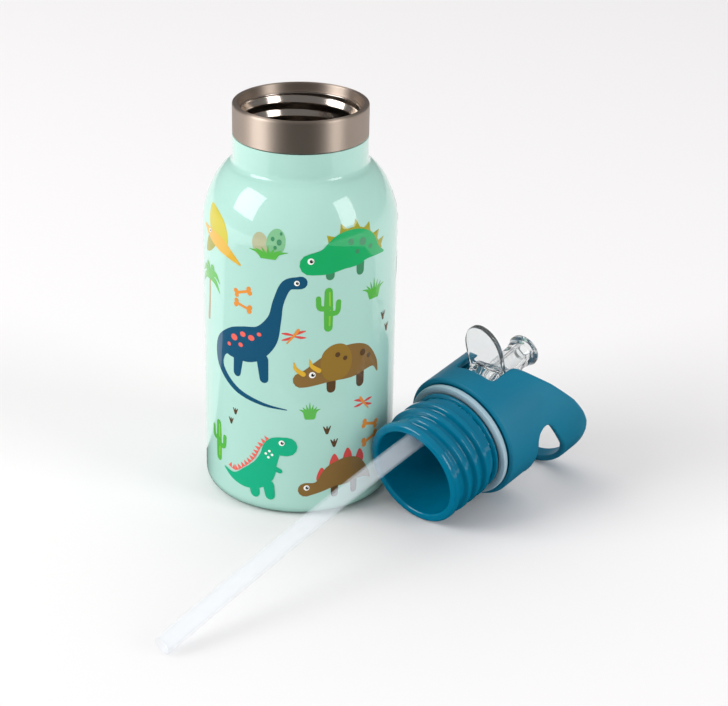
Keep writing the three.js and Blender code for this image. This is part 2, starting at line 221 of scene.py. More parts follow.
def revolve(outline, sides=224, swell=None):
    """Vertices and quads of a closed (radius, height) outline turned round z. swell adds to the radius."""
    radius, height = np.array(outline, float).T
    angle = np.linspace(0, 2 * math.pi, sides, endpoint=False)[:, None]
    spread = radius + (swell(radius, height, angle) if swell else 0)
    spread = np.broadcast_to(spread, (sides, len(radius)))
    heights = np.broadcast_to(height, spread.shape)
    points = np.stack([spread * np.cos(angle), spread * np.sin(angle), heights], -1)
    ring = np.arange(len(radius))
    following = np.roll(ring, -1)
    here = np.arange(sides)[:, None] * len(radius)
    there = np.roll(here, -1, axis=0)
    faces = np.stack([here + ring, there + ring, there + following, here + following], -1)
    return points.reshape(-1, 3), faces.reshape(-1, 4)


def piece(name, shape, body, material, place=None, stands_for=()):
    """A smooth mesh, given in millimetres, put in place and tied to its CAD body."""
    vertices, faces = shape
    mesh = bpy.data.meshes.new(name)
    mesh.from_pydata([tuple(v) for v in vertices], [], [tuple(int(i) for i in f) for f in faces])
    mesh.transform((Matrix.Scale(MM, 4) @ place) if place else Matrix.Scale(MM, 4))
    work = bmesh.new()
    work.from_mesh(mesh)
    bmesh.ops.remove_doubles(work, verts=work.verts, dist=1e-6)
    bmesh.ops.recalc_face_normals(work, faces=work.faces)
    for face in work.faces:
        face.smooth = True
    work.to_mesh(mesh)
    work.free()
    made = bpy.data.objects.new(name, mesh)
    bpy.context.scene.collection.objects.link(made)
    mesh.materials.append(material)
    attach(made, body)
    if stands_for:
        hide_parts(*stands_for)
    return made


def shoulder(wall, neck, bottom, top, steps=26):
    """The (radius, height) points of a shoulder from the wall up to the neck: a full superellipse quarter."""
    points = []
    for k in range(steps + 1):
        a = math.pi / 2 * k / steps
        out, up = (max(f(a), 0) ** (2 / SHOULDER_FULLNESS) for f in (math.cos, math.sin))
        points.append((neck + (wall - neck) * out, bottom + (top - bottom) * up))
    return points


def softened(points, neck, reach=1.1):
    """The shoulder's points with the sharp meeting at the neck turned into a fillet."""
    kept = [p for p in points if p[0] > neck + reach]
    a, b, c = Vector(kept[-1]), Vector((neck, points[-1][1])), Vector((neck, points[-1][1] + reach))
    fillet = [tuple((1 - t) ** 2 * a + 2 * t * (1 - t) * b + t * t * c) for t in np.linspace(0, 1, 9)[1:]]
    return kept + fillet


def arc(x, z, radius, first, last, steps=10):
    """Points on an arc, with its angles in degrees."""
    turns = np.radians(np.linspace(first, last, steps + 1))
    return [(x + radius * math.cos(a), z + radius * math.sin(a)) for a in turns]


def lacquer(name, colour):
    """Baked lacquer: a satin colour under a hard glossy clear coat, with an orange peel 2.5 mm across."""
    made, tree = new_material(name)
    place = add(tree, "ShaderNodeTexCoord").outputs["Object"]
    peel = add(tree, "ShaderNodeTexNoise", {"Vector": place, "Scale": 1 / (2.5 * MM), "Detail": 1.0})
    bump = add(tree, "ShaderNodeBump", {"Height": peel.outputs[0], "Strength": 0.03, "Distance": 0.05 * MM})
    surface(tree, add(tree, "ShaderNodeBsdfPrincipled", {
        "Base Color": colour, "Roughness": 0.3, "IOR": 1.5, "Specular IOR Level": 0.2, "Coat Weight": 1.0,
        "Coat Roughness": 0.03, "Normal": bump.outputs[0]}))
    return made


mint = lacquer("mint_lacquer", srgb("#b0dccf"))
corner = BODY_RADIUS - BASE_CORNER
base_edge = corner - 0.3
outer_skin = [
    (base_edge, 0),
    *arc(corner, BASE_CORNER, BASE_CORNER, -90, 0),
    (BODY_RADIUS, BASE_CORNER + 0.5),
    (BODY_RADIUS, SHOULDER_BOTTOM - 0.5),
    *softened(shoulder(BODY_RADIUS, NECK_RADIUS, SHOULDER_BOTTOM, NECK_FOOT), NECK_RADIUS, NECK_FOOT_FILLET),
    (NECK_RADIUS, SHOULDER_TOP + 1),
    (NECK_RADIUS, SHELL_TOP - 0.1),
    (NECK_RADIUS, SHELL_TOP),
]
inner_skin = [
    (NECK_RADIUS - SHELL_WALL, SHELL_TOP),
    *shoulder(BODY_RADIUS - SHELL_WALL, NECK_RADIUS - SHELL_WALL, SHOULDER_BOTTOM, NECK_FOOT)[::-1],
    *arc(corner, BASE_CORNER, BASE_CORNER - SHELL_WALL, 0, -90),
    (base_edge, SHELL_WALL),
]
piece("lacquered_shell", revolve(outer_skin + inner_skin), "bottle", mint,
      stands_for=["outer_shell"])

# ---------- printed animals ----------
# Screen-printed inks laid on the lacquer in flat colours: long-necked, spiky, horned and plated animals
# with plants, eggs, bones and footprints between them. Each film of ink is a thin sheet that follows the
# shell, and shines like the lacquer.

FACING = 224.2  # degrees, the side that faces the camera
INK_LIFT = 0.03
INK_STEP = 0.006  # each ink lies this much over the one before
INK_PITCH = 1.1  # between the points inside a film
BACK_TURN = 158  # degrees, from the front set of drawings to the same set behind
INKS = {
    "navy": "#0f5273", "coral": "#f0695c", "green": "#0fae64", "leaf": "#58b947", "lime": "#8ccf3f",
    "olive": "#a09e22", "brown": "#8a6a38", "dark_brown": "#5d4428", "red": "#dc4f4a", "yellow": "#cbbf2c",
    "gold": "#deb035", "orange": "#e8943d", "teal": "#12b284", "white": "#fbfbf6", "black": "#20201f",
    "stone": "#b3b690", "sage": "#7fbd8c", "moss": "#3f8d63", "trunk": "#b8894b", "tan": "#97762f",
}
inks = {name: lacquer("ink_" + name, srgb(value)) for name, value in INKS.items()}


def spline(points, closed=True, steps=6):
    """Points on a smooth curve through the given ones."""
    p = np.array(points, float)
    p = np.vstack([p[-1], p, p[:2]]) if closed else np.vstack([2 * p[0] - p[1], p, 2 * p[-1] - p[-2]])
    out = []
    for a, b, c, d in zip(p, p[1:], p[2:], p[3:]):
        for t in np.arange(steps) / steps:
            out.append(0.5 * (2 * b + (c - a) * t + (2 * a - 5 * b + 4 * c - d) * t**2
                              + (3 * b - a - 3 * c + d) * t**3))
    if not closed:
        out.append(p[-2])
    return np.array(out)


def limb(points, steps=6):
    """The outline of a stroke through (x, y, half width) points, with round ends."""
    p = spline(points, closed=False, steps=steps)
    along = np.gradient(p[:, :2], axis=0)
    along /= np.linalg.norm(along, axis=1)[:, None] + 1e-9
    across = np.stack([-along[:, 1], along[:, 0]], 1) * np.maximum(p[:, 2:3], 0.05)
    ends = []
    for tip, way, half in ((p[-1], along[-1], across[-1]), (p[0], -along[0], -across[0])):
        for a in np.radians([-60, -30, 0, 30, 60]):
            ends.append(tip[:2] - half * math.sin(a) + way * np.linalg.norm(half) * math.cos(a))
    return np.vstack([p[:, :2] + across, ends[:5], (p[:, :2] - across)[::-1], ends[5:]])


def oval(x, y, rx, ry, turn=0, steps=26):
    """An ellipse round a centre, turned by degrees."""
    a = np.linspace(0, 2 * math.pi, steps, endpoint=False)
    u, v, t = rx * np.cos(a), ry * np.sin(a), math.radians(turn)
    return np.stack([x + u * math.cos(t) - v * math.sin(t), y + u * math.sin(t) + v * math.cos(t)], 1)


def eye(x, y, size=0.9):
    """A white eye with a black pupil and a glint."""
    return [("white", oval(x, y, size, size)), ("black", oval(x + 0.2 * size, y, 0.55 * size, 0.55 * size)),
            ("white", oval(x + 0.4 * size, y + 0.25 * size, 0.17 * size, 0.17 * size))]


def spikes(route, height, colour):
    """A row of triangles along a route, standing on its left side."""
    p = np.array(route, float)
    made = []
    for a, b in zip(p, p[1:]):
        way = (b - a) / np.linalg.norm(b - a)
        made.append((colour, np.array([a, b, (a + b) / 2 + np.array([-way[1], way[0]]) * height])))
    return made


def long_neck():
    """A long-necked animal with coral spots on its back."""
    legs = [("navy", limb([(x, -7, 2.3), (x + lean, -14.5, 1.7)])) for x, lean in ((-7, -0.8), (3, 0.6))]
    back = limb([(12, -26, 0.2), (2, -24.5, 0.7), (-9, -21, 1.1), (-16.5, -14, 1.7), (-15.5, -6.5, 3.6),
                 (-9, -3.4, 6.0), (-2, -2, 6.8), (4, 2, 5.0), (7.5, 9, 2.6), (9, 16, 2.0), (12, 22.6, 2.1),
                 (17, 23.8, 2.4)])
    places = ((-9, -1, 1.5), (-5, 1.2, 1.2), (-6, -3.2, 1.0), (-1.4, 0.6, 1.3), (-11.6, -4.4, 0.9),
              (1.8, 2.6, 0.9))
    spots = [("coral", oval(x, y, r, r * 0.85)) for x, y, r in places]
    return [("navy", back), *legs, *spots, *eye(15.6, 23.6, 1.0)]


def spiky():
    """A low round animal with a ridge of spikes."""
    body = limb([(18, -4, 0.4), (14, -2.5, 2.0), (8, 0.5, 6.0), (0, 0.5, 6.8), (-7, -2.5, 5.0),
                 (-13, -3.5, 4.0)])
    feet = [("moss", limb([(x, -5, 1.7), (x, -8.2, 1.6)])) for x in (-6, 6)]
    ridge = [(-6.4, 2.2), (-2.6, 5.8), (2.2, 7.4), (7, 6.8), (11.2, 4.2), (14, 0.8), (16, -2)]
    places = ((2, 3.4, 1.2), (7, 2.6, 1.5), (4.6, -0.6, 0.9), (10.6, 0, 0.9))
    marks = [("moss", oval(x, y, r, r)) for x, y, r in places]
    crest = ("olive", limb([(x, y, 0.9) for x, y in ridge]))
    return [*spikes(ridge, 3.9, "olive"), crest, *feet, ("green", body), *marks, *eye(-13, -2.2, 1.2)]


def horned():
    """A horned animal with a frill behind its head."""
    body = limb([(17, -7, 0.4), (15, -3, 1.8), (9, 0, 5.6), (2, 0.5, 6.6), (-5, -1, 5.4), (-12, -4, 3.6),
                 (-15, -5, 3)])
    frill = spline([(-6, -5), (-8, 0), (-7, 5.4), (-3, 8.2), (1.4, 7.4), (4, 3), (3.4, -3), (-1, -6)])
    feet = [("dark_brown", limb([(x, -5, 1.8), (x, -9, 1.7)])) for x in (-4, 8)]
    horns = [("gold", limb([(x, y, 0.9), (x - 2.6, y + 2, 0.7), (x - 3.4, y + 4.6, 0.15)]))
             for x, y in ((-8.6, -1.4), (-14.2, -2.6))]
    places = ((-1.6, 4, 1.0), (1.4, 2.2, 0.9), (9, 2.6, 1.3), (12, 0.6, 0.9))
    marks = [("dark_brown", oval(x, y, r, r)) for x, y, r in places]
    return [*feet, ("brown", body), ("tan", frill), *marks, *horns, *eye(-11, -3, 1.2)]


def plated():
    """An animal with red plates along its back."""
    body = limb([(15, -5, 0.4), (12, -2, 2.2), (6, 0.8, 5.2), (-1, 0, 5.0), (-7, -4, 2.4), (-12, -5, 2.8)])
    feet = [("dark_brown", limb([(x, -4, 1.5), (x, -7.6, 1.4)])) for x in (-1, 7)]
    plates = []
    for x, y in ((-6, -1.6), (-1.2, 3.4), (4.2, 4.8), (9.6, 3)):
        plate = [(x - 1.7, y), (x - 1.6, y + 2.8), (x, y + 5.4), (x + 1.8, y + 2.6), (x + 1.5, y)]
        plates.append(("red", spline(plate)))
    return [*plates, *feet, ("brown", body), *eye(-11.6, -4.2, 1.1)]


def walker():
    """An upright animal with a comb of small spikes."""
    body = limb([(-16, -6, 0.3), (-11, -8, 1.6), (-5, -7, 4.0), (1, -3.5, 5.0), (4, 3, 3.6), (6, 8, 3.6),
                 (11, 8.6, 3.8)])
    feet = [("teal", limb([(x, -8, 2.2), (x + 0.6, -12, 1.9)])) for x in (-2, 4)]
    arm = ("teal", limb([(5, 0, 1.1), (8.4, -1.6, 0.9)]))
    ridge = [(-14, -4.6), (-10.4, -5.6), (-7, -3.4), (-4, -0.8), (-1.4, 2.2), (0.2, 5.4), (2, 8.6), (4.6, 11)]
    dots = [("white", oval(x, y, 0.5, 0.5)) for x, y in ((3, 5), (4.4, 6.2), (4, 3.6), (5.4, 4.8))]
    comb = spikes(spline(ridge, closed=False, steps=2), 2.3, "coral")
    return [*comb, *feet, ("teal", body), arm, *dots, *eye(9, 10, 1.1)]


def flyer():
    """A flying animal with its wings spread."""
    wing = spline([(-3, 1), (-7, 6), (-8, 11), (-3, 10.4), (3, 7.6), (6, 3), (5, -1)])
    other = spline([(-1, -2), (-5, -6), (-9, -7), (-8, -3), (-5, 1)])
    body = limb([(-10, 2.6, 0.5), (-5, 0.8, 2.0), (2, -1.2, 2.8), (7, -3.6, 1.8), (12, -6.4, 0.4)])
    return [("yellow", wing), ("olive", other), ("gold", body), *eye(-5.4, 1.6, 0.8)]


def eggs():
    """Two eggs in a tuft of grass."""
    places = ((1.6, 3, 0.7), (4, 2, 0.9), (2.6, 0, 0.6), (4.6, 5, 0.5))
    spots = [("moss", oval(x, y, r, 1.2 * r)) for x, y, r in places]
    return [("stone", oval(-3, 0.6, 3.1, 4.3, 12)), ("sage", oval(2.8, 1.8, 3.5, 4.9, -8)), *spots,
            *grass(15, -3.8, 4)]


def grass(width=12, y=-3, tall=7, colour="leaf"):
    """A tuft of seven blades that fan out."""
    blades = []
    for k in range(7):
        lean = (k - 3) / 3
        x = lean * width * 0.26
        top = (x + lean * width * 0.22, y + tall * (1 - 0.45 * abs(lean)), 0.08)
        blades.append((colour, limb([(x * 0.6, y, 0.75), (x, y + tall * 0.4, 0.55), top], 4)))
    return blades


def palm():
    """A palm tree."""
    fronds = [("leaf", limb([(0, 6, 0.5), (4.4 * math.cos(a), 7.4 + 4 * math.sin(a), 1.15),
                             (8 * math.cos(a), 6.6 + 5.4 * math.sin(a) - 2.4, 0.1)], 5))
              for a in np.radians([-20, 20, 60, 110, 155, 200])]
    return [("trunk", limb([(-1.4, -10, 0.9), (-0.4, -2, 0.6), (0, 6, 0.5)])), *fronds]


def cactus():
    """A cactus with two arms."""
    return [("leaf", limb([(0, -7.4, 1.6), (0, 0, 1.7), (0, 6.4, 1.5)])),
            ("lime", limb([(0.4, -6.6, 0.3), (0.5, 0, 0.35), (0.4, 6, 0.3)])),
            ("leaf", limb([(0, -2, 1.0), (3.2, -1.8, 1.0), (3.8, 2, 1.0)])),
            ("leaf", limb([(0, 0, 1.0), (-3.2, 0.4, 1.0), (-3.7, 4, 0.95)]))]


def bones():
    """Two bones, one above the other."""
    made = []
    for y, turn in ((2.6, 18), (-2.8, -14)):
        t = math.radians(turn)
        ends = [(s * 3 * math.cos(t), y + s * 3 * math.sin(t)) for s in (-1, 1)]
        made.append(("orange", limb([(*ends[0], 0.6), (0, y, 0.5), (*ends[1], 0.6)])))
        for x, z in ends:
            made += [("orange", oval(x - 0.6 * s * math.sin(t), z + 0.75 * s, 0.95, 0.95)) for s in (-1, 1)]
    return made


def tracks():
    """Two three-toed footprints."""
    made = []
    for x, y in ((-1.4, 3), (1.4, -2.6)):
        for lean in (-1, 0, 1):
            made.append(("dark_brown", limb([(x, y - 1.1, 0.62), (x + lean * 1.3, y + 1.4, 0.22)], 4)))
    return made


def dragonfly():
    """A dragonfly with four wings."""
    wings = []
    for s in (-1, 1):
        for u in (-1, 1):
            tip = (4.2 * s, 1.3 * u + 0.6 * s, 0.2)
            wings.append(("red", limb([(0, 0.2 * u, 0.2), (2.4 * s, 1.0 * u + 0.4 * s, 0.5), tip], 4)))
    return [*wings, ("orange", limb([(-2.4, -3, 0.25), (0, 0, 0.45), (1.6, 2.2, 0.6)]))]


def fill(outline):
    """Triangles that fill a flat outline, with points inside it so that the sheet can bend."""
    edge = np.array(outline, float)
    following = np.roll(edge, -1, axis=0)

    def inside(p):
        over = (edge[:, 1] > p[1]) != (following[:, 1] > p[1])
        cut = edge[:, 0] + (p[1] - edge[:, 1]) * (following[:, 0] - edge[:, 0]) / (
            np.where(over, following[:, 1] - edge[:, 1], 1))
        return np.count_nonzero(over & (p[0] < cut)) % 2 == 1

    low, high = edge.min(0), edge.max(0)
    core = [(x, y) for x in np.arange(low[0] + INK_PITCH / 2, high[0], INK_PITCH)
            for y in np.arange(low[1] + INK_PITCH / 2, high[1], INK_PITCH)
            if inside((x, y)) and np.min(np.linalg.norm(edge - (x, y), axis=1)) > 0.3 * INK_PITCH]
    points = [Vector(p) for p in [*edge, *core]]
    sides = [(i, (i + 1) % len(edge)) for i in range(len(edge))]
    verts, _, faces, *_ = delaunay_2d_cdt(points, sides, [], 0, 1e-5)
    kept = [f for f in faces if inside(np.mean([verts[i] for i in f], axis=0))]
    return [tuple(v) for v in verts], kept


shell_heights, shell_radii = np.array(sorted((z, r) for r, z in outer_skin)).T


def print_on_shell(name, shapes, angle, height, mirror=1, scale=1.0):
    """Lays a drawing on the shell at an angle from the facing side and a height."""
    names = sorted({colour for colour, _ in shapes})
    vertices, faces, colours = [], [], []
    for layer, (colour, outline) in enumerate(shapes):
        flat, parts = fill(np.array(outline) * scale)
        first = len(vertices)
        for x, y in flat:
            z = height + y
            r = float(np.interp(z, shell_heights, shell_radii)) + INK_LIFT + layer * INK_STEP
            turn = math.radians(FACING + angle) + mirror * x / BODY_RADIUS
            vertices.append((r * math.cos(turn), r * math.sin(turn), z))
        faces += [[first + i for i in part] for part in parts]
        colours += [names.index(colour)] * len(parts)
    mesh = bpy.data.meshes.new(name)
    mesh.from_pydata([Vector(v) * MM for v in vertices], [], faces)
    for each in names:
        mesh.materials.append(inks[each])
    mesh.polygons.foreach_set("material_index", colours)
    mesh.polygons.foreach_set("use_smooth", [True] * len(faces))
    made = bpy.data.objects.new(name, mesh)
    bpy.context.scene.collection.objects.link(made)
    outward = [p.normal.dot(Vector((p.center.x, p.center.y, 0))) for p in mesh.polygons]
    if sum(outward) < 0:
        mesh.flip_normals()
    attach(made, "bottle")


# label, drawing, degrees from the facing side, height, mirror, scale
SCATTER = [
    ("flyer", flyer, -56, 104, 1, 1.0), ("eggs", eggs, -18.5, 106.5, 1, 1.0),
    ("spiky", spiky, 27, 104, 1, 1.0),
    ("long_neck", long_neck, -27, 70, 1, 1.0), ("bones", bones, -35, 85, 1, 1.0),
    ("palm", palm, -66, 81, 1, 1.0),
    ("cactus", cactus, 16.5, 83.5, 1, 1.0), ("grass", grass, 48, 87, 1, 1.0),
    ("tracks", tracks, 60, 71.6, 1, 1.0),
    ("dragonfly", dragonfly, -3.5, 73.4, 1, 1.0), ("horned", horned, 25, 61, 1, 1.0),
    ("dragonfly_low", dragonfly, 41, 43.3, -1, 1.0), ("tuft", lambda: grass(8, -3, 6), 6, 44, 1, 1.0),
    ("tracks_left", tracks, -43, 37, -1, 0.8), ("tracks_low", tracks, 18.6, 32.4, 1, 1.0),
    ("bones_low", bones, 47, 30.5, -1, 1.1), ("cactus_low", cactus, -57, 24.5, 1, 1.0),
    ("walker", walker, -25, 20.5, 1, 1.0), ("plated", plated, 23, 16.5, 1, 1.0),
]
for side, start in (("front", 0), ("back", BACK_TURN)):
    for label, drawing, angle, height, mirror, scale in SCATTER:
        print_on_shell(f"print_{label}_{side}", drawing(), start + angle, height, mirror, scale)

# ---------- neck ring ----------
# A bare ring of stainless steel, turned and brushed round its outside, and rolled over into the drinking lip.
# The brushing draws the highlights out across its lines.

LINER_NECK = 22.4  # outside of the liner's neck
LINER_WALL = 0.8
LINER_TOP = BOTTLE_HEIGHT - 3.2
LIP = 0.9


def brushed_steel(name, colour, roughness, grain, stretch):
    """Warm stainless steel with fine lines round the axis, `grain` mm apart, that stretch its highlights."""
    made, tree = new_material(name)
    place = add(tree, "ShaderNodeTexCoord").outputs["Object"]
    squash = add(tree, "ShaderNodeMapping", {"Vector": place, "Scale": (6.0, 6.0, 1 / (grain * MM))})
    lines = add(tree, "ShaderNodeTexNoise", {"Vector": squash.outputs[0], "Scale": 1.0, "Detail": 3.0})
    spread = add(tree, "ShaderNodeMapRange", {
        "Value": lines.outputs[0], "To Min": roughness - 0.05, "To Max": roughness + 0.07})
    bump = add(tree, "ShaderNodeBump", {"Height": lines.outputs[0], "Strength": 0.12, "Distance": 0.02 * MM})
    round_axis = add(tree, "ShaderNodeTangent", direction_type="RADIAL", axis="Z")
    surface(tree, add(tree, "ShaderNodeBsdfPrincipled", {
        "Base Color": colour, "Metallic": 1.0, "Roughness": spread.outputs[0], "Anisotropic": stretch,
        "Anisotropic Rotation": 0.25, "Normal": bump.outputs[0], "Tangent": round_axis.outputs[0]}))
    return made


bare_steel = brushed_steel("brushed_stainless", srgb("#cfbfb1"), roughness=0.5, grain=0.35, stretch=0.88)
polished_steel = brushed_steel(
    "electropolished_stainless", srgb("#d8cec4"), roughness=0.16, grain=0.8, stretch=0.5)
lip_outline = rounded([
    (LINER_NECK + 0.3, BAND_BOTTOM, 0), (NECK_RADIUS, BAND_BOTTOM, 0.25), (NECK_RADIUS, BOTTLE_HEIGHT, LIP),
    (LINER_NECK + 0.2, BOTTLE_HEIGHT, 0.5), (LINER_NECK - 0.25, BOTTLE_HEIGHT - 2.9, 0.2),
    (LINER_NECK - LINER_WALL, LINER_TOP, 0), (LINER_NECK + 0.3, LINER_TOP, 0),
])
piece("steel_lip_ring", revolve(lip_outline), "bottle", bare_steel,
      stands_for=["neck_ring"])

# ---------- liner ----------
# The inner vessel of the double wall, spun from thinner stainless sheet and electropolished. A screw thread
# is rolled into its neck, and its floor is a welded cup.

LINER_RADIUS = 31.8
LINER_FLOOR = 6.0
LINER_SEAM = 14.0
THREAD_PITCH = 5.2
THREAD_RISE = 1.1
THREAD_START = 136.0
THREAD_TURNS = 1.9
THREAD_HALF = 2.5
THREAD_FADE = 0.12  # of a turn
CUP_CORNER = 6.0


def rolled_thread(radius, height, angle):
    """How far the rolled thread pushes in: straight flanks to a narrow flat crest, faded at both ends."""
    turn = angle / (2 * math.pi)
    total = np.round((height - THREAD_START) / THREAD_PITCH - turn) + turn
    across = np.abs(height - THREAD_START - THREAD_PITCH * total)
    flank = np.clip(1 - across / THREAD_HALF, 0, 1)
    fade = np.clip(total / THREAD_FADE, 0, 1) * np.clip((THREAD_TURNS - total) / THREAD_FADE, 0, 1)
    neck_only = (radius < LINER_NECK + 0.1) & (height > 131)
    return -THREAD_RISE * np.minimum(1.15 * flank, 1) * fade * neck_only


def liner_wall(inset):
    """The liner's wall, shoulder and neck from the seam up, moved in by inset."""
    curve = shoulder(LINER_RADIUS - inset, LINER_NECK - inset, SHOULDER_BOTTOM - 1.5, SHOULDER_TOP - 2.5)
    neck = [(LINER_NECK - inset, z) for z in np.arange(NECK_FOOT, LINER_TOP, 0.25)]
    return [(LINER_RADIUS - inset, LINER_SEAM), *softened(curve, LINER_NECK - inset, 1.0)[:-1], *neck]


piece("liner_vessel", revolve(liner_wall(0) + liner_wall(LINER_WALL)[::-1], swell=rolled_thread), "bottle",
      polished_steel, stands_for=["inner_vessel"])


def cup(inset):
    """The welded floor cup, moved in by inset."""
    centre = LINER_RADIUS - CUP_CORNER
    return [(0, LINER_FLOOR + inset), *arc(centre, LINER_FLOOR + CUP_CORNER, CUP_CORNER - inset, -90, 0),
            (LINER_RADIUS - inset, LINER_SEAM - 0.05)]


piece("liner_cup", revolve(cup(0) + cup(LINER_WALL)[::-1]), "bottle", polished_steel,
      stands_for=["liner_base"])

# ---------- base ----------
# A brushed steel disc closes the bottom, with a shallow dish and a bevelled edge. Above it, out of sight, are
# the welded cup, its glass-sealed hole, and the getter in its clip, which keep their own CAD shapes.

DISC = BODY_RADIUS - BASE_CORNER - 0.6
DISC_THICK = 0.9
DISH_DEPTH = 0.35
dish = rounded([(0, DISH_DEPTH, 0), (DISC - 7, DISH_DEPTH, 0.5), (DISC - 5.5, 0, 0.5), (DISC, 0, 0.3),
                (DISC, DISC_THICK, 0.2), (0, DISC_THICK, 0)])
piece("base_disc", revolve(dish), "bottle", bare_steel, stands_for=["base_cap"])


def plain(name, colour, metal, rough, grain):
    """One colour whose gloss varies in a fine speckle, for pieces inside the wall."""
    made, tree = new_material(name)
    place = add(tree, "ShaderNodeTexCoord").outputs["Object"]
    speck = add(tree, "ShaderNodeTexNoise", {"Vector": place, "Scale": 1 / (grain * MM), "Detail": 2.0})
    tone = add(tree, "ShaderNodeMapRange", {
        "Value": speck.outputs[0], "To Min": rough - 0.08, "To Max": rough + 0.08})
    surface(tree, add(tree, "ShaderNodeBsdfPrincipled", {
        "Base Color": colour, "Metallic": metal, "Roughness": tone.outputs[0]}))
    return made


hidden = {
    "outer_base": plain("welded_stainless", srgb("#b9b1a8"), metal=1.0, rough=0.35, grain=0.6),
    "getter_clip": plain("clip_steel", srgb("#b2aca6"), metal=1.0, rough=0.35, grain=0.4),
    "getter_pellet": plain("sintered_getter", srgb("#6b6b6e"), metal=0.6, rough=0.7, grain=0.3),
    "seal_bead": plain("solder_glass", srgb("#26262a"), metal=0.0, rough=0.2, grain=0.5),
}
for label, finish in hidden.items():
    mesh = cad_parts[label].data
    mesh.materials.clear()
    mesh.materials.append(finish)

# ---------- lid collar ----------
# The lid's body, moulded in polypropylene with a soft-touch paint: a round skirt that swells into a carry
# loop behind, a slanted rim, and a slot in front for the spout's tab. The mould rounds its edges softly.

LID_TILT = math.radians(11)
LID_ROLL = math.radians(1)
LID_MOUTH = Vector((0.7, -56.9, 20.2))
along = Vector((math.cos(LID_TILT), 0, math.sin(LID_TILT)))
front = Vector((-math.sin(LID_TILT), 0, math.cos(LID_TILT)))
lid_place = (Matrix.Translation(LID_MOUTH) @ Matrix((front, along.cross(front), along)).transposed().to_4x4()
             @ Matrix.Rotation(LID_ROLL, 4, "Z"))
COLLAR_RADIUS = 24.5
COLLAR_WALL = 2.4
COLLAR_BOTTOM = 27.9
COLLAR_FRONT = 46.0
RIM_SLOPE = 0.73
LOOP_TOP = 75.5
LOOP_REACH = 33.5
LOOP_START = 43.7
LOOP_LOWER = 66.0
DECK_TOP = 37.6
SLOT_HALF = 8.8
SLOT_FLOOR = DECK_TOP - 0.3
SLOT_CORNER = 2.0
SLOT_BACK = 12


def cut(a, b, radius):
    """Where two solids given as distance fields both are, with the edge between them rounded."""
    u, v = np.maximum(a + radius, 0), np.maximum(b + radius, 0)
    return np.minimum(-radius, np.maximum(a, b)) + np.hypot(u, v)


def join(a, b, radius):
    """Either of two solids, with a fillet between them."""
    return -cut(-a, -b, radius)


def outline_distance(corners, x, z):
    """The signed distance in a plane to a closed outline, negative inside."""
    p = np.array(corners, float)
    nearest = np.full(x.shape, 1e9)
    inside = np.zeros(x.shape, bool)
    for (ax, az), (bx, bz) in zip(p, np.roll(p, -1, axis=0)):
        ex, ez = bx - ax, bz - az
        t = np.clip(((x - ax) * ex + (z - az) * ez) / (ex * ex + ez * ez + 1e-12), 0, 1)
        nearest = np.minimum(nearest, np.hypot(x - ax - t * ex, z - az - t * ez))
        if ez:
            over = (az > z) != (bz > z)
            inside ^= over & (x < ax + (z - az) * ex / ez)
    return np.where(inside, -nearest, nearest)


def moulded(field, low, high, pitch):
    """The surface where a distance field is zero, as a mesh, with its points settled onto the field."""
    low, high = np.array(low, float), np.array(high, float)
    axes = [np.arange(a, b, pitch) for a, b in zip(low, high)]
    x, y, z = np.meshgrid(*axes, indexing="ij", sparse=True)
    values = np.broadcast_to(field(x, y, z), [len(a) for a in axes])
    grid = openvdb.FloatGrid(10.0)
    grid.copyFromArray(np.ascontiguousarray(values, dtype=np.float32))
    points, triangles, quads = grid.convertToPolygons(0.0, 0.0)
    points = points * pitch + low
    step = 0.02
    for _ in range(3):
        here = field(*points.T)
        rise = [field(*(points + step * e).T) - field(*(points - step * e).T) for e in np.eye(3)]
        slope = np.stack(rise, -1) / (2 * step)
        move = slope * (here / np.maximum((slope**2).sum(1), 0.05))[:, None]
        points = points - np.clip(move, -pitch / 2, pitch / 2)
    return points, [*triangles, *quads]


def back_at(z):
    """How far the collar's outside stands behind the axis at a height."""
    t = np.clip((z - LOOP_START + 3) / (LOOP_TOP - 4 - LOOP_START), 0, 1)
    return COLLAR_RADIUS + (LOOP_REACH - COLLAR_RADIUS) * np.sin(math.pi / 2 * t) ** 1.4


def oval_tube(x, y, side, back):
    """The distance to a tube that is round in front and an ellipse behind."""
    half = np.where(x > 0, side, back)
    size = np.hypot(x / half, y / side)
    slope = np.hypot(x / half**2, y / side**2)
    return (size - 1) * size / np.maximum(slope, 1e-6)


def rim_at(x):
    """The height of the slanted rim."""
    return COLLAR_FRONT + 3 + RIM_SLOPE * (COLLAR_RADIUS - x)


collar_profile = [
    (34, COLLAR_BOTTOM), (34, COLLAR_FRONT - 1), (24, COLLAR_FRONT + 0.6), (20.5, rim_at(20.5)),
    (14, rim_at(14) + 1.6), (4, rim_at(4) + 2.2), (-4, rim_at(-4) + 1.2), (-10, LOOP_TOP - 1.6),
    (-15.5, LOOP_TOP - 0.3), (-21, LOOP_TOP), (-27, LOOP_TOP - 1), (-31, LOOP_TOP - 3), (-34, LOOP_TOP - 6.5),
    (-42, LOOP_TOP - 18), (-42, COLLAR_BOTTOM),
]
finger_gap = [
    (-48, LOOP_START), (-1.5, LOOP_START), (1.2, LOOP_START + 1), (2.4, LOOP_START + 3.4),
    (2.4, LOOP_START + 5.6),
    (0.8, LOOP_START + 7.6), (-9, LOOP_LOWER - 8.9), (-15, LOOP_LOWER - 5), (-22, LOOP_LOWER - 1.6),
    (-29, LOOP_LOWER), (-48, LOOP_LOWER),
]
smooth_profile = rounded([(x, z, 3.5 if 2 < i < 13 else 1.2) for i, (x, z) in enumerate(collar_profile)], 4)
smooth_gap = rounded([(x, z, 4.0 if 0 < i < 10 else 0) for i, (x, z) in enumerate(finger_gap)], 4)


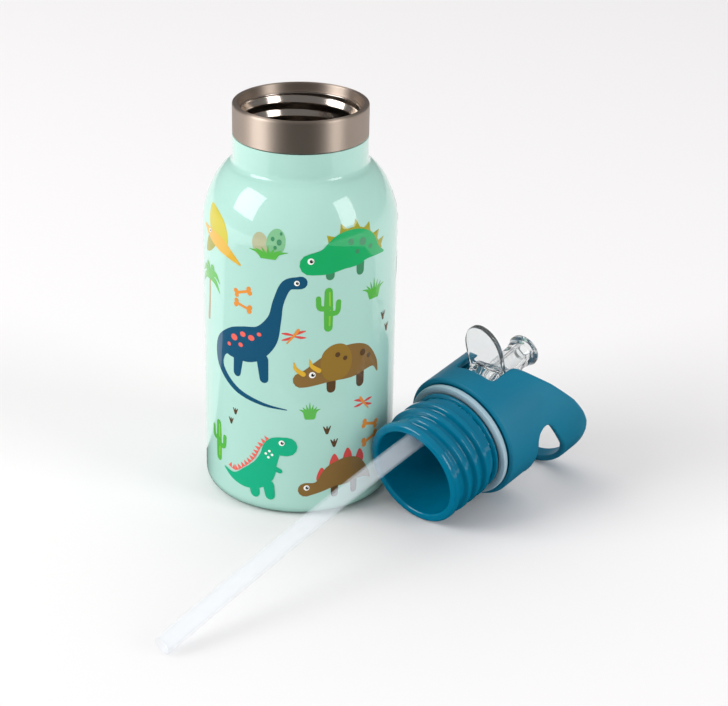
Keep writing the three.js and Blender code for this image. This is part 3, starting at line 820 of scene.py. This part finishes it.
def collar_field(x, y, z):
    """The collar and its loop: a tube cut to its side outline, with the finger gap and the slot taken out."""
    back = back_at(z)
    wall = cut(oval_tube(x, y, COLLAR_RADIUS, back),
               -oval_tube(x, y, COLLAR_RADIUS - COLLAR_WALL, back - COLLAR_WALL), 0.2)
    kept = outline_distance(smooth_profile, x + 0 * z, z + 0 * x)
    opened = outline_distance(smooth_gap, x + 0 * z, z + 0 * x)
    u = np.abs(y) - SLOT_HALF + SLOT_CORNER
    v = SLOT_FLOOR + SLOT_CORNER - z
    slot = np.hypot(np.maximum(u, 0), np.maximum(v, 0)) + np.minimum(np.maximum(u, v), 0) - SLOT_CORNER
    slot = np.maximum(slot, SLOT_BACK - x)
    shape = cut(wall, kept, 0.7)
    shape = cut(shape, -opened, 0.8)
    return cut(shape, -slot, 0.6)


def soft_touch():
    """Soft-touch paint on moulded plastic: broad dull highlights, and a grain too fine to see singly."""
    made, tree = new_material("soft_touch_polypropylene")
    place = add(tree, "ShaderNodeTexCoord").outputs["Object"]
    grain = add(tree, "ShaderNodeTexNoise", {"Vector": place, "Scale": 1 / (0.3 * MM), "Detail": 2.0})
    cloud = add(tree, "ShaderNodeTexNoise", {"Vector": place, "Scale": 1 / (18 * MM), "Detail": 1.0})
    shades = {0: cloud.outputs[0], 6: srgb("#006f8e"), 7: srgb("#007997")}
    tone = add(tree, "ShaderNodeMix", shades, data_type="RGBA")
    bump = add(tree, "ShaderNodeBump", {"Height": grain.outputs[0], "Strength": 0.08, "Distance": 0.03 * MM})
    surface(tree, add(tree, "ShaderNodeBsdfPrincipled", {
        "Base Color": tone.outputs[2], "Roughness": 0.46, "IOR": 1.49, "Specular IOR Level": 0.3,
        "Normal": bump.outputs[0]}))
    return made


collar_shape = moulded(collar_field, low=(-37, -27, 26), high=(27, 27, 78), pitch=0.45)
piece("collar_with_loop", collar_shape, "lid", soft_touch(), lid_place,
      stands_for=["lid_collar"])

# ---------- threaded plug ----------
# The lid's core, moulded in glossy polypropylene: an open barrel with a thick mouth and a screw thread, a
# drum inside the collar, and a deck with two ears for the spout's trunnions.

PLUG_MOUTH = 17.3
PLUG_ROOT = 18.9
PLUG_CREST = 20.7
DRUM = COLLAR_RADIUS - COLLAR_WALL - 0.4
DECK_THICK = 1.8
STRAW_X = 13.4
PIVOT_X = 15.0
PIVOT_Z = 46.0
EAR_NEAR = 9.1
EAR_FAR = 11.4
EAR_RADIUS = 3.4
TRUNNION = 2.0
PLUG_THREAD_START = 6.6
PLUG_THREAD_TURNS = 2.75
PLUG_THREAD_FADE = 0.05  # of a turn
RIDGE_HALF = 1.9
RIDGE_FLANK = 1.2
VENT_X = -12


def glossy_plastic():
    """Polished mould, so sharp thin highlights, with faint flow lines in the moulding."""
    made, tree = new_material("glossy_polypropylene")
    place = add(tree, "ShaderNodeTexCoord").outputs["Object"]
    flow = add(tree, "ShaderNodeTexNoise", {"Vector": place, "Scale": 1 / (6 * MM), "Detail": 2.0})
    bump = add(tree, "ShaderNodeBump", {"Height": flow.outputs[0], "Strength": 0.05, "Distance": 0.1 * MM})
    surface(tree, add(tree, "ShaderNodeBsdfPrincipled", {
        "Base Color": srgb("#00708f"), "Roughness": 0.1, "IOR": 1.49, "Subsurface Weight": 0.06,
        "Subsurface Radius": (0.0006, 0.0012, 0.0014), "Normal": bump.outputs[0]}))
    return made


def plug_thread(radius, height, angle):
    """The screw thread: a ridge with sloping flanks that winds up the barrel behind the plain mouth ring."""
    turn = angle / (2 * math.pi)
    total = np.round((height - PLUG_THREAD_START) / THREAD_PITCH - turn) + turn
    across = np.abs(height - PLUG_THREAD_START - THREAD_PITCH * total)
    ridge = np.clip((RIDGE_HALF - across) / RIDGE_FLANK, 0, 1)
    ridge = ridge * ridge * (3 - 2 * ridge)
    fade = np.clip(total / PLUG_THREAD_FADE + 1, 0, 1)
    fade = fade * np.clip((PLUG_THREAD_TURNS - total) / PLUG_THREAD_FADE, 0, 1)
    outside = (radius > PLUG_ROOT - 0.05) & (height > 3.2) & (height < 23)
    return (PLUG_CREST - PLUG_ROOT) * ridge * fade * outside


barrel_side = [(PLUG_ROOT, z) for z in np.arange(3.8, 23.0, 0.2)]
mouth_ring = rounded([(PLUG_MOUTH, 3, 0), (PLUG_MOUTH, 0, 1.0), (PLUG_CREST - 0.2, 0, 1.3),
                      (PLUG_CREST - 0.2, 2.6, 0.8), (PLUG_ROOT, 3.6, 0.4)])
shoulder_ring = rounded([(PLUG_ROOT, 23.2, 0.2), (PLUG_ROOT + 1.2, 23.8, 0.4), (PLUG_ROOT + 1.2, 24.8, 0.4),
                         (PLUG_ROOT, 25.1, 0.2)])
drum_outline = rounded([(PLUG_ROOT, COLLAR_BOTTOM - 0.3, 0.1), (DRUM, COLLAR_BOTTOM, 0.4),
                        (DRUM, DECK_TOP, 0.5), (DRUM - 2, DECK_TOP, 0), (DRUM - 2, 28.9, 0.3),
                        (PLUG_MOUTH, 28.5, 0.3)])
barrel = mouth_ring[1:] + barrel_side + shoulder_ring + drum_outline
glossy_teal = glossy_plastic()
piece("plug_barrel", revolve(barrel, swell=plug_thread), "lid", glossy_teal, lid_place,
      stands_for=["threaded_plug"])


def deck_field(x, y, z):
    """The deck and its two ears, with holes for the straw's water and the vent."""
    plate = cut(np.hypot(x, y) - (DRUM - 1.9), np.abs(z - DECK_TOP + DECK_THICK / 2) - DECK_THICK / 2, 0.2)
    round_top = np.hypot(x - PIVOT_X, z - PIVOT_Z) - EAR_RADIUS
    post = np.maximum(np.abs(x - PIVOT_X) - EAR_RADIUS, np.maximum(z - PIVOT_Z, DECK_TOP - 0.5 - z))
    slab = np.abs(np.abs(y) - (EAR_NEAR + EAR_FAR) / 2) - (EAR_FAR - EAR_NEAR) / 2
    ears = cut(np.minimum(round_top, post), slab, 0.35)
    ears = cut(ears, TRUNNION + 0.3 - np.hypot(x - PIVOT_X, z - PIVOT_Z), 0.2)
    holes = np.minimum(np.hypot(x - STRAW_X - 0.5, y) - 2.4, np.hypot(x - VENT_X, y) - 1.6)
    return cut(join(plate, ears, 0.4), -np.maximum(holes, DECK_TOP - 4 - z), 0.15)


deck_shape = moulded(deck_field, low=(-21, -21, 34), high=(21, 21, 51), pitch=0.35)
piece("plug_deck", deck_shape, "lid", glossy_teal, lid_place)

# ---------- gasket and small silicone parts ----------
# A moulded silicone ring seals the lid against the steel lip. Clear silicone makes the pad under the spout,
# the sleeve that grips the straw, and the vent valve. Each is pressed into its seat.


def silicone(name, colour, rough):
    """Moulded silicone: soft highlights, light that sinks in a little, and a faintly dusty surface."""
    made, tree = new_material(name)
    place = add(tree, "ShaderNodeTexCoord").outputs["Object"]
    dust = add(tree, "ShaderNodeTexNoise", {"Vector": place, "Scale": 1 / (0.8 * MM), "Detail": 2.0})
    tone = add(tree, "ShaderNodeMapRange", {
        "Value": dust.outputs[0], "To Min": rough - 0.06, "To Max": rough + 0.06})
    surface(tree, add(tree, "ShaderNodeBsdfPrincipled", {
        "Base Color": colour, "Roughness": tone.outputs[0], "IOR": 1.41, "Subsurface Weight": 0.15,
        "Subsurface Radius": (0.001, 0.001, 0.001)}))
    return made


gasket_silicone = silicone("grey_blue_silicone", srgb("#a9c3ce"), rough=0.38)
clear_silicone = silicone("clear_silicone", srgb("#dce4e6"), rough=0.35)
gasket = rounded([(PLUG_ROOT + 0.3, 25.4, 0), (COLLAR_RADIUS - 2, 25.4, 0.35), (COLLAR_RADIUS - 2, 27.3, 0.3),
                  (PLUG_ROOT + 0.3, 27.3, 0)])
piece("neck_seal_ring", revolve(gasket), "lid", gasket_silicone, lid_place,
      stands_for=["neck_gasket"])
pad = rounded([(2.7, DECK_TOP + 0.3, 0), (5.4, DECK_TOP + 0.3, 0.1), (5.4, 39, 0.5), (2.7, 39, 0.3)])
piece("spout_pad", revolve(pad, 64), "lid", clear_silicone,
      lid_place @ Matrix.Translation((STRAW_X + 0.5, 0, 0)), stands_for=["spout_seal"])
STRAW_RADIUS = 3.5
STRAW_BORE = 2.8
sleeve_top = DECK_TOP - DECK_THICK - 0.3
sleeve = rounded([(STRAW_RADIUS + 0.3, 29.2, 0.2), (4.9, 29.2, 0.4), (4.9, sleeve_top, 0.1),
                  (STRAW_RADIUS + 0.3, sleeve_top, 0.1)])
piece("straw_sleeve", revolve(sleeve, 64), "lid", clear_silicone,
      lid_place @ Matrix.Translation((STRAW_X, 0, 0)), stands_for=["straw_socket"])
valve = [(0, 33.4), (1.0, 33.6), (1.9, 34.6), (1.9, 35.4), (1.25, 35.5), (1.25, DECK_TOP + 0.3),
         (3.4, DECK_TOP + 0.3), (3.0, 38.5), (1.6, 38.9), (0, 39)]
valve_outline = rounded([(r, z, 0.25 if r else 0) for r, z in valve], 4)
piece("air_vent", revolve(valve_outline, 48), "lid", clear_silicone,
      lid_place @ Matrix.Translation((VENT_X, 0, 0)), stands_for=["vent_valve"])

# ---------- spout ----------
# One clear copolyester moulding: a hub that turns on two trunnions, a drinking tube with a flared lip, and a
# flat thumb tab square to it. It is highly polished, so the edges carry all its dark and light lines.

SPOUT_LEAN = math.radians(6)
HUB_RADIUS = 6.6
HUB_HALF = 6.4
TUBE_RADIUS = 5.3
TUBE_LENGTH = 22.0
LIP_RADIUS = 6.5
BORE_RADIUS = 2.6
TAB_HALF = 8.4
TAB_REACH = 25.6
TAB_THICK = 2.0
TAB_ROOT = 4.0
TAB_ROUNDNESS = 1.3
spout_place = (lid_place @ Matrix.Translation((PIVOT_X, 0, PIVOT_Z)) @ Matrix.Rotation(SPOUT_LEAN, 4, "Y"))
tab_end = [(TAB_HALF * math.cos(a), TAB_REACH + TAB_HALF * TAB_ROUNDNESS * (math.sin(a) - 1))
           for a in np.radians(np.linspace(0, 180, 25))]
tab_outline = [(-TAB_HALF, TAB_ROOT), (TAB_HALF, TAB_ROOT), *tab_end]


def spout_field(x, y, z):
    """The spout about its pivot, with the tube along z and the tab along x."""
    hub = cut(np.hypot(x, z) - HUB_RADIUS, np.abs(y) - HUB_HALF, 0.5)
    pins = cut(np.hypot(x, z) - TRUNNION, np.abs(y) - EAR_FAR + 0.2, 0.3)
    flare = np.interp(z, [0, TUBE_LENGTH - 6, TUBE_LENGTH - 3.4, TUBE_LENGTH - 1.6, TUBE_LENGTH],
                      [TUBE_RADIUS, TUBE_RADIUS - 0.2, TUBE_RADIUS + 0.4, LIP_RADIUS, LIP_RADIUS - 0.1])
    tube = cut(np.hypot(x, y) - flare, np.maximum(z - TUBE_LENGTH, -z), 0.7)
    tab = cut(outline_distance(tab_outline, y + 0 * x, x + 0 * y), np.abs(z) - TAB_THICK / 2, 0.45)
    whole = join(join(join(hub, tube, 0.6), tab, 0.5), pins, 0.2)
    return cut(whole, BORE_RADIUS - np.hypot(x, y), 0.3)


def clear_plastic():
    """Water-clear copolyester, polished all over, with faint flow lines in the moulding."""
    made, tree = new_material("clear_copolyester")
    place = add(tree, "ShaderNodeTexCoord").outputs["Object"]
    flow = add(tree, "ShaderNodeTexNoise", {"Vector": place, "Scale": 1 / (5 * MM), "Detail": 1.0})
    bump = add(tree, "ShaderNodeBump", {"Height": flow.outputs[0], "Strength": 0.03, "Distance": 0.1 * MM})
    surface(tree, add(tree, "ShaderNodeBsdfPrincipled", {
        "Base Color": srgb("#fbfdfd"), "Roughness": 0.03, "IOR": 1.46, "Transmission Weight": 0.95,
        "Normal": bump.outputs[0]}))
    return made


spout_shape = moulded(spout_field, low=(-8, -13, -8), high=(27, 13, 23.5), pitch=0.3)
piece("clear_spout", spout_shape, "spout", clear_plastic(), spout_place,
      stands_for=["spout"])

# ---------- straw ----------
# A soft extruded polyethylene tube with a thin milky wall. It is pushed into the sleeve under the deck and
# bends down to the table under its own weight.

STRAW_INNER = 32.6
STRAW_TIP = -124.0
STRAW_DROOP = 6.3
STRAW_BEND = 1.7
STRAW_EDGE = 0.15
STRAW_SIDES = 96


def straw_tube():
    """Rings along the straw's line, outside from the socket to the tip and back along the bore."""
    inside = [(STRAW_X, z) for z in np.linspace(STRAW_INNER, 4, 6)]
    outside = [(STRAW_X - STRAW_DROOP * t**STRAW_BEND, STRAW_TIP * t) for t in np.linspace(0, 1, 50)]
    line = np.array(inside + outside)
    way = np.gradient(line, axis=0)
    way /= np.linalg.norm(way, axis=1)[:, None]
    turns = np.linspace(0, 2 * math.pi, STRAW_SIDES, endpoint=False)
    stations = [(0, STRAW_RADIUS - STRAW_EDGE, 0)] + [(i, STRAW_RADIUS, 0) for i in range(len(line))]
    stations += [(-1, STRAW_RADIUS - STRAW_EDGE, STRAW_EDGE), (-1, STRAW_BORE + STRAW_EDGE, STRAW_EDGE)]
    stations += [(i, STRAW_BORE, 0) for i in range(len(line))][::-1]
    rings = []
    for i, radius, ahead in stations:
        (x, z), (wx, wz) = line[i], way[i]
        across = np.stack([np.cos(turns) * -wz, np.sin(turns), np.cos(turns) * wx], -1)
        rings.append(np.array([x + ahead * wx, 0, z + ahead * wz]) + radius * across)
    count, sides = len(rings), len(turns)
    here = np.arange(count)[:, None] * sides + np.arange(sides)
    there = np.roll(here, -1, axis=0)
    faces = np.stack([here, np.roll(here, -1, axis=1), np.roll(there, -1, axis=1), there], -1)
    return np.vstack(rings), faces.reshape(-1, 4)


def milky_tube():
    """Extruded polyethylene: a faint milky film that shows what is behind it, a little rougher in patches."""
    made, tree = new_material("milky_polyethylene")
    place = add(tree, "ShaderNodeTexCoord").outputs["Object"]
    haze = add(tree, "ShaderNodeTexNoise", {"Vector": place, "Scale": 1 / (9 * MM), "Detail": 1.0})
    tone = add(tree, "ShaderNodeMapRange", {"Value": haze.outputs[0], "To Min": 0.08, "To Max": 0.16})
    surface(tree, add(tree, "ShaderNodeBsdfPrincipled", {
        "Base Color": srgb("#f2f9ff"), "Roughness": tone.outputs[0], "IOR": 1.5, "Alpha": 0.15}))
    return made


piece("soft_straw", straw_tube(), "straw", milky_tube(), lid_place,
      stands_for=["straw"])
